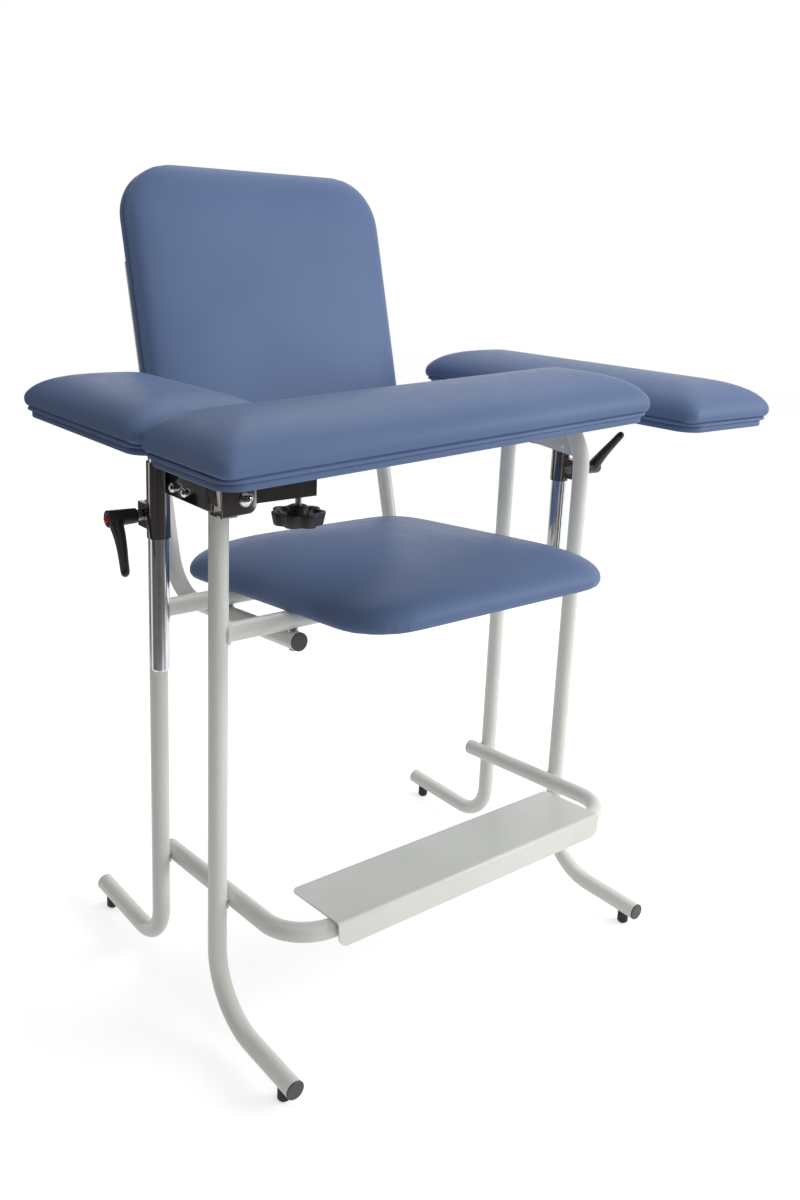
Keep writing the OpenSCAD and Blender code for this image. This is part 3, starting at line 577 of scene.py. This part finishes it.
# %% Arm pad shapes
def arm_band(name, width, length, at, body, board):
    rings = [
        (9.4, 0), (7.8, 0.5), (7.2, 1.6), (7.2, 7.4), (8, 8.4), (4.9, 9), (3.3, 9.8), (2.8, 11.2),
        (3.3, 12.8), (5, 13.8), (7, 14.2), (12, 17),
    ]
    piece = pad_block(name, width, length, 36, rings)
    edit(piece)
    pick_faces(piece, lambda c, n: n.z < -0.9 and c.z < 0.1 * MM)
    bpy.ops.mesh.inset(thickness=14 * MM, depth=0)
    bpy.ops.mesh.inset(thickness=0.8 * MM, depth=-0.8 * MM)
    leave_edit()
    smooth(piece, 50)
    finish_piece(piece, vinyl, body, at)
    piece.data.materials.append(dust_cloth)
    under = at @ Vector((0, 0, 0.8 * MM))
    normal = (at.to_3x3() @ Vector((0, 0, 1))).normalized()
    for face in piece.data.polygons:
        if abs((face.center - under).dot(normal)) < 0.05 * MM:
            face.material_index = 1
    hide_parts(board)
    print(name, len(piece.data.polygons), "faces")


def arm_cover(name, width, length, at, body, cushion, top):
    cap = 5
    rings = crowned(((6, 12.5), (1.8, 15.5)), 22, top, 2.1, min(width, length) / 2, cap)
    piece = pad_block(name, width, length, 21, rings)
    stuff(piece, 4, cap, 14)
    finish_piece(piece, vinyl, body, at)
    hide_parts(cushion)


# %% Make the three arm pads
ARM_Z = 811.6
left_place = place(-ARM_X, MIDLINE + 28.5, ARM_Z)
right_place = place(ARM_X, MIDLINE - 33, ARM_Z)
cross_pad_place = cross_place @ place(204.5, -239, 51)
arm_pads = (
    ("left_arm", 196, 339, left_place, "left_arm", "arm_board_left", "arm_cushion_left", 56),
    ("right_arm", 196, 578, right_place, "right_arm", "arm_board_right", "arm_cushion_right", 60),
    ("cross_arm", 641, 188, cross_pad_place, "cross_arm", "cross_board", "cross_cushion", 60),
)
for label, width, length, at, body, board, cushion, top in arm_pads:
    arm_band(label + "_pad_band", width, length, at, body, board)
    arm_cover(label + "_pad_cover", width, length, at, body, cushion, top)

# %% [markdown]
# ## Seat
# The seat's skin wraps round the board without a seam line, so the cover goes from under the
# board's edge up over the foam. The side is full and its lower edge is round.

# %% Seat
SEAT_W, SEAT_LEN, SEAT_CORNER = 456, 506, 84
seat_middle = seat_place @ place(0, -15, 0)
cap = 7
foot = ((9, -3), (3.5, -4.2), (1, -2), (0, 3))
rings = crowned(foot, 9, 58, 2.05, SEAT_W / 2, cap)
seat_cover = pad_block("seat_cover", SEAT_W, SEAT_LEN, SEAT_CORNER, rings)
stuff(seat_cover, 5, cap, -1.5)
finish_piece(seat_cover, vinyl, "frame", seat_middle)
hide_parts("seat_cushion", "seat_board")

# %% [markdown]
# ## Backrest
# The backrest is a crowned cushion on a vinyl-covered panel. From the side the panel shows as a
# thin strip behind the cushion, with a groove between them.

# %% Backrest
BACK_W, BACK_LEN, BACK_CORNER, BACK_LOW = 475, 469, 87, 188
back_middle = back_place @ place(0, BACK_LOW + BACK_LEN / 2, TUBE_R)
panel_rings = [(8, 0), (5.2, 0.7), (3.8, 2.2), (3.2, 4.5), (3.2, 8), (3.8, 10), (6, 11.5), (12, 13)]
back_panel = pad_block("back_panel", BACK_W, BACK_LEN, BACK_CORNER, panel_rings)
smooth(back_panel, 50)
finish_piece(back_panel, vinyl, "frame", back_middle)
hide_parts("back_board")

cap = 5
rings = crowned(((4, 10.5), (1.2, 15)), 22, 50, 3.4, 234, cap)
back_cover = pad_block("back_cover", BACK_W, BACK_LEN, BACK_CORNER, rings)
stuff(back_cover, 5, cap, 13)
finish_piece(back_cover, vinyl, "frame", back_middle)
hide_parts("back_cushion")

# %% [markdown]
# ## Clamp levers
# Each post is locked with a ratchet lever: a short round hub with a push button in its end, and a
# handle that leaves the hub at the button's end and bends away from the post. The hub is turned
# from a disc, the handle is an ellipse extruded along its bend, and a fine remesh melts the two
# together with the soft fillet that a moulded part has.

# %% Model one lever
def model_lever(name):
    hub = start_disc(name, 11 * MM, 39 * MM, 40)
    edit(hub)
    pick_faces(hub, lambda c, n: n.z > 0.9)
    bpy.ops.mesh.inset(thickness=4.4 * MM, depth=0)
    bpy.ops.mesh.extrude_region_move(TRANSFORM_OT_translate={"value": (0, 0, -1.6 * MM)})
    pick_faces(hub, lambda c, n: n.z < -0.9)
    bpy.ops.transform.resize(value=(0.88, 0.88, 1), center_override=(0, 0, -19.5 * MM))
    leave_edit()
    use_modifier(hub, "BEVEL", width=1.2 * MM, segments=3, limit_method="ANGLE")
    put(hub, place(19.5) @ turned(90, "Y"))
    deselect()
    bpy.ops.mesh.primitive_circle_add(vertices=28, radius=1, fill_type="NGON")
    handle = name_new(name + "_handle")
    stations = [
        (29.5, 2, 8.6, 10.6), (29.4, -9, 8.6, 10), (29.6, -17, 8.2, 9), (30.2, -26, 7.6, 8.2),
        (31.4, -36, 7, 7.5), (33.2, -47, 6.5, 6.9), (35.4, -58, 6, 6.4), (37.2, -67, 5.8, 6.2),
        (38.4, -74, 5.7, 6.1), (38.9, -78, 4.6, 5), (39, -80, 2.4, 2.8),
    ]
    x, z, rx, ry = stations[0]
    put(handle, place(x, 0, z) @ Matrix.Diagonal((rx * MM, ry * MM, 1, 1)))
    edit(handle)
    bpy.ops.mesh.select_all(action="SELECT")
    for nx, nz, nrx, nry in stations[1:]:
        bpy.ops.mesh.extrude_region_move(
            TRANSFORM_OT_translate={"value": ((nx - x) * MM, 0, (nz - z) * MM)}
        )
        bpy.ops.transform.resize(
            value=(nrx / rx, nry / ry, 1), center_override=(nx * MM, 0, nz * MM)
        )
        x, z, rx, ry = nx, nz, nrx, nry
    bpy.ops.mesh.select_all(action="SELECT")
    bpy.ops.mesh.normals_make_consistent(inside=False)
    leave_edit()
    make_active(hub)
    handle.select_set(True)
    bpy.ops.object.join()
    hub.data.remesh_voxel_size = 0.7 * MM
    bpy.ops.object.voxel_remesh()
    edit(hub, "VERT")
    bpy.ops.mesh.select_all(action="SELECT")
    bpy.ops.mesh.vertices_smooth(factor=0.5, repeat=4)
    leave_edit()
    smooth(hub, 60)
    return hub


# %% Put a lever on each post
POST_AHEAD = 1.3
CLAMP_Z = 702


def lever_at(side, angle):
    post = place(side * POST_X, MIDLINE - POST_AHEAD) @ turned(0 if side > 0 else 180, "Z")
    return post @ place(16, -31, CLAMP_Z) @ turned(-angle, "X")


lever = model_lever("clamp_lever_left")
twin = copy_piece(lever, "clamp_lever_right")
finish_piece(lever, black_plastic, "left_lever", lever_at(-1, -41))
finish_piece(twin, black_plastic, "right_lever", lever_at(1, 143))
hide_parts("lever_left")
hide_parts("lever_right")
print("lever faces:", len(lever.data.polygons))

# %% [markdown]
# ## Strap and hinge ear
# The left arm's strap is bent from one strip of plated steel. It runs forward under the arm with
# a flange against the board, steps down where the cross arm begins, and ends in a return with a
# small lip at the corner. The cross arm's ear is a plate with a rounded end round the pivot
# screw. Both have the small round edges that bent strip has.

# %% Bend plates from blocks
def plate_set(name, boxes):
    pieces = []
    for number, (low, high) in enumerate(boxes):
        low = tuple(v * MM for v in low)
        high = tuple(v * MM for v in high)
        pieces.append(start_block(name + str(number), low, high))
    make_active(pieces[0])
    for piece in pieces:
        piece.select_set(True)
    bpy.ops.object.join()
    return name_new(name)


strap = plate_set("arm_strap_plate", (
    ((-372, -134, 743), (-368, -34, 811.4)),
    ((-372, -147, 743), (-368, -134, 783)),
    ((-372, -172, 754), (-368, -147, 783)),
    ((-408, -134, 807.6), (-372, -34, 811.4)),
    ((-376, -175.4, 754), (-372, -147, 783)),
    ((-376, -175.4, 741.5), (-354, -150, 745)),
))
edit(strap, "VERT")
bpy.ops.mesh.select_all(action="SELECT")
bpy.ops.mesh.remove_doubles(threshold=0.01 * MM)
leave_edit()
use_modifier(strap, "BEVEL", width=0.9 * MM, segments=3, limit_method="ANGLE")
smooth(strap, 40)
# The strap gets the chrome with the painted dark reflection.
finish_piece(strap, chrome_painted_dark_reflection, "left_arm", place(0, MIDLINE))
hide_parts("arm_strap")

hinge = plate_set("cross_hinge_plate", (
    ((-50, -218, 47), (160, -152, 50.8)),
    ((-31, -180, -18), (14, -176, 47)),
))
edit(hinge, "EDGE")
pick_edges(hinge, lambda a, b: min(a.x, b.x) > 13 * MM and max(a.z, b.z) < -17 * MM)
bpy.ops.mesh.bevel(offset=11 * MM, segments=8, profile=0.5)
leave_edit()
use_modifier(hinge, "BEVEL", width=0.9 * MM, segments=3, limit_method="ANGLE")
smooth(hinge, 40)
# The hinge ear gets the chrome with the painted dark reflection.
finish_piece(hinge, chrome_painted_dark_reflection, "cross_arm", cross_place)
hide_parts("cross_hinge")
print("strap and hinge faces:", len(strap.data.polygons), len(hinge.data.polygons))

# %% [markdown]
# ## Star knob
# The knob under the cross arm is a moulded hand wheel: seven rounded lobes, a dished top and a
# boss round the threaded stud. A disc's top face is inset and pushed down for the dish, and raised
# again for the boss. Then the rim is pressed in between the lobes.

# %% Star knob
lobes, per_lobe = 7, 14
knob_r, knob_h, knob_top = 33.5, 16, 735.5
knob = start_disc("star_knob_wheel", knob_r * MM, knob_h * MM, lobes * per_lobe)
edit(knob)
pick_faces(knob, lambda c, n: n.z > 0.9)
bpy.ops.mesh.inset(thickness=6 * MM, depth=0)
bpy.ops.mesh.inset(thickness=2 * MM, depth=-6 * MM)
bpy.ops.transform.resize(value=(0.9, 0.9, 1), center_override=(0, 0, 2 * MM))
bpy.ops.mesh.inset(thickness=9 * MM, depth=-0.6 * MM)
for lift, factor in ((9, 0.88), (3, 0.96), (1.2, 0.86)):
    bpy.ops.mesh.extrude_region_move(TRANSFORM_OT_translate={"value": (0, 0, lift * MM)})
    bpy.ops.transform.resize(value=(factor, factor, 1), center_override=(0, 0, 0))
pick_faces(knob, lambda c, n: n.z < -0.9)
bpy.ops.transform.resize(value=(0.9, 0.9, 1), center_override=(0, 0, -knob_h / 2 * MM))
bpy.ops.mesh.inset(thickness=6 * MM, depth=0)
bpy.ops.mesh.inset(thickness=3 * MM, depth=-2 * MM)
bpy.ops.mesh.select_mode(type="VERT")
for step in range(per_lobe // 2):
    share = 1 - 0.16 * (0.5 + 0.5 * math.cos(math.pi * step / (per_lobe / 2))) ** 1.8
    bpy.ops.mesh.select_all(action="DESELECT")
    mesh = bmesh.from_edit_mesh(knob.data)
    for vertex in mesh.verts:
        turn = (math.degrees(math.atan2(vertex.co.y, vertex.co.x)) - 90) % (360 / lobes)
        from_valley = min(turn, 360 / lobes - turn) * lobes * per_lobe / 360
        if vertex.co.xy.length > 0.8 * knob_r * MM and abs(from_valley - step) < 0.2:
            vertex.select_set(True)
    bmesh.update_edit_mesh(knob.data)
    bpy.ops.transform.resize(value=(share, share, 1), center_override=(0, 0, 0))
leave_edit()
use_modifier(knob, "BEVEL", width=2.6 * MM, segments=4, limit_method="ANGLE", angle_limit=0.9)
smooth(knob, 50)
stud_at = place(PIVOT_X + 84, MIDLINE - 160, knob_top - knob_h / 2)
finish_piece(knob, black_plastic, "star_knob", stud_at)
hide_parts("star_knob")
print("knob faces:", len(knob.data.polygons))

# %% [markdown]
# ## Weld beads
# Where a tube meets another the maker laid a bead of weld, which shows under the paint as a low
# rippled ridge. A bead follows the line where two round tubes meet. It is a curve with a round
# section whose thickness rises and falls along its way, made into a mesh. At the legs' front and
# back the line would run out to a point, so it is cut short there.

# %% Beads along a path
def bead(name, points, size, closed=True):
    curve = bpy.data.curves.new(name, "CURVE")
    curve.dimensions = "3D"
    curve.bevel_depth = size * MM
    curve.bevel_resolution = 2
    curve.use_fill_caps = True
    line = curve.splines.new("POLY")
    line.points.add(len(points) - 1)
    for number, (point, co) in enumerate(zip(line.points, points)):
        point.co = (co[0] * MM, (co[1] + MIDLINE) * MM, co[2] * MM, 1)
        point.radius = 1 + 0.16 * math.sin(number * 2.1)
    line.use_cyclic_u = closed
    holder = bpy.data.objects.new(name, curve)
    bpy.context.scene.collection.objects.link(holder)
    make_active(holder)
    bpy.ops.object.convert(target="MESH")
    piece = name_new(name)
    smooth(piece, 70)
    return piece


def join_beads(name, beads):
    make_active(beads[0])
    for piece in beads:
        piece.select_set(True)
    bpy.ops.object.join()
    piece = name_new(name)
    finish_piece(piece, paint, "frame")
    print(name, len(piece.data.polygons), "faces")


# %% Beads where the seat's cross tubes meet the legs
def saddle(side, leg_y, middle_y, middle_z, steps=56, least_reach=8):
    points = []
    for number in range(steps):
        t = 2 * math.pi * number / steps
        y = middle_y + TUBE_R * math.cos(t)
        z = middle_z + TUBE_R * math.sin(t)
        reach = math.sqrt(max(TUBE_R ** 2 - (y - leg_y) ** 2, 0))
        points.append((side * (FRAME_X - max(reach, least_reach)), y, z))
    return points


beads = []
slope = math.radians(SEAT_TILT)
for leg_y in (-LEG_Y, LEG_Y):
    seat_y = (leg_y + TUBE_R * math.sin(slope)) / math.cos(slope)
    middle = seat_place @ Vector((0, seat_y * MM, -TUBE_R * MM))
    for side in (-1, 1):
        line = saddle(side, leg_y, middle.y / MM - MIDLINE, middle.z / MM)
        beads.append(bead("saddle_bead", line, 3.4))
join_beads("seat_tube_welds", beads)

# %% Beads where the foot rail touches the legs
RAIL_Z, RAIL_TILT = 180.3, 4.6
beads = []
for side in (-1, 1):
    for leg_y in (-LEG_Y, LEG_Y):
        rail_mid = RAIL_Z - leg_y * math.tan(math.radians(RAIL_TILT))
        for up in (-1, 1):
            line = []
            for number in range(15):
                a = math.radians(-42 + 6 * number)
                bend = 1 - math.cos(a)
                x = side * (FRAME_X - TUBE_R + 9.6 * bend)
                line.append((x, leg_y + 11 * math.sin(a), rail_mid + up * (3.2 + 16 * bend)))
            beads.append(bead("rail_bead", line, 2, closed=False))
join_beads("rail_welds", beads)

# %% [markdown]
# ## Studio
# The picture was taken in a white studio and has no background at all. The floor and the world
# are white where the camera, a reflection or glass sees them, and stay at a plain level as
# light. The floor still takes the chair's shadow.

# %% Floor and world
FLOOR_GLOW, WORLD_LIGHT = 0.55, 0.55


def seen_by_camera(tree):
    path = tree.nodes.new("ShaderNodeLightPath")
    first = tree.nodes.new("ShaderNodeMath")
    first.operation = "MAXIMUM"
    second = tree.nodes.new("ShaderNodeMath")
    second.operation = "MAXIMUM"
    tree.links.new(path.outputs["Is Camera Ray"], first.inputs[0])
    tree.links.new(path.outputs["Is Glossy Ray"], first.inputs[1])
    tree.links.new(first.outputs[0], second.inputs[0])
    tree.links.new(path.outputs["Is Transmission Ray"], second.inputs[1])
    return second.outputs[0]


deselect()
bpy.ops.mesh.primitive_plane_add(size=14, location=(0, 0, -0.0005))
floor = settle(name_new("floor"))
floor_white = bpy.data.materials.new("floor_white")
floor_white.use_nodes = True
tree = floor_white.node_tree
tree.nodes.clear()
matt = tree.nodes.new("ShaderNodeBsdfDiffuse")
matt.inputs["Color"].default_value = (0.8, 0.8, 0.8, 1)
lit = tree.nodes.new("ShaderNodeEmission")
lit.inputs["Color"].default_value = (1, 1, 1, 1)
level = tree.nodes.new("ShaderNodeMath")
level.operation = "MULTIPLY"
level.inputs[1].default_value = FLOOR_GLOW
both = tree.nodes.new("ShaderNodeAddShader")
out = tree.nodes.new("ShaderNodeOutputMaterial")
tree.links.new(seen_by_camera(tree), level.inputs[0])
tree.links.new(level.outputs[0], lit.inputs["Strength"])
tree.links.new(matt.outputs[0], both.inputs[0])
tree.links.new(lit.outputs[0], both.inputs[1])
tree.links.new(both.outputs[0], out.inputs["Surface"])
floor.data.materials.append(floor_white)

world = bpy.data.worlds.new("studio")
bpy.context.scene.world = world
world.use_nodes = True
tree = world.node_tree
sky = tree.nodes["Background"]
blend = tree.nodes.new("ShaderNodeMix")
blend.data_type = "FLOAT"
blend.inputs["A"].default_value = WORLD_LIGHT
blend.inputs["B"].default_value = 1
tree.links.new(seen_by_camera(tree), blend.inputs["Factor"])
sky.inputs["Color"].default_value = (1, 1, 1, 1)
tree.links.new(blend.outputs[0], sky.inputs["Strength"])
print("studio ready")

# %% [markdown]
# ## Lamps
# A broad soft lamp stands to the right in front, a weak one fills in from beside the camera, and
# a third hangs above. The camera's left stays darker, which is what rounds the pads off.

# %% Lamps
def soft_lamp(name, at, aim, size, power):
    lamp = bpy.data.lights.new(name, "AREA")
    lamp.shape = "RECTANGLE"
    lamp.size, lamp.size_y = size
    lamp.energy = power
    holder = bpy.data.objects.new(name, lamp)
    holder.location = at
    way = Vector(aim) - Vector(at)
    holder.rotation_euler = way.to_track_quat("-Z", "Y").to_euler()
    bpy.context.scene.collection.objects.link(holder)


soft_lamp("key", (2.2, -2.0, 1.6), (0, 0, 0.6), (1.5, 1.7), 44)
soft_lamp("fill", (-0.4, -2.7, 1.7), (0, 0.2, 0.9), (1.2, 1.2), 7)
soft_lamp("top", (0.9, 0.6, 2.9), (0, 0, 0.6), (1.8, 1.6), 14)
bpy.context.scene.view_settings.view_transform = "Standard"

# %% [markdown]
# ## Dark cards
# Chrome looks like chrome only when it has something dark to mirror. Photographers stand black
# cards round a shiny object for that. These cards stand in a ring round the chair, the camera
# doesn't see them, and a gap between two of them is the bright streak down each post. They fade
# to grey at the floor and throw no shadow. The left card also takes light from the pads' left
# sides.

# %% Cards
CARD_AWAY, CARD_TALL, CARD_Z = 1.3, 1.6, 0.81
card_black, tree, shader = new_finish("card_black", linear(30, 29, 29), Roughness=0.9)
split = tree.nodes.new("ShaderNodeSeparateXYZ")
tree.links.new(place_node(tree), split.inputs["Vector"])
fade = spread(tree, split.outputs["Z"], 0, 1, 0.1, 1.1)
finish_with(tree, shader, colour=tints(tree, fade, linear(128, 124, 122), linear(26, 25, 25), 0.1, 0.7))
for name, angle, width, shades in (
    ("card_left", 188, 1.3, True),
    ("card_camera", 238, 1.3, False),
    ("card_front", 281, 0.86, False),
    ("card_right", 318, 0.5, False),
    ("card_back_left", 118, 1.2, False),
):
    deselect()
    bpy.ops.mesh.primitive_plane_add(size=1)
    card = name_new(name)
    card.scale = (width, CARD_TALL, 1)
    settle(card)
    at = turned(angle, "Z") @ Matrix.Translation((CARD_AWAY, 0, CARD_Z))
    put(card, at @ turned(90, "Z") @ turned(90, "X"))
    card.data.materials.append(card_black)
    card.visible_camera = False
    card.visible_diffuse = shades
    card.visible_shadow = False
print("cards ready")
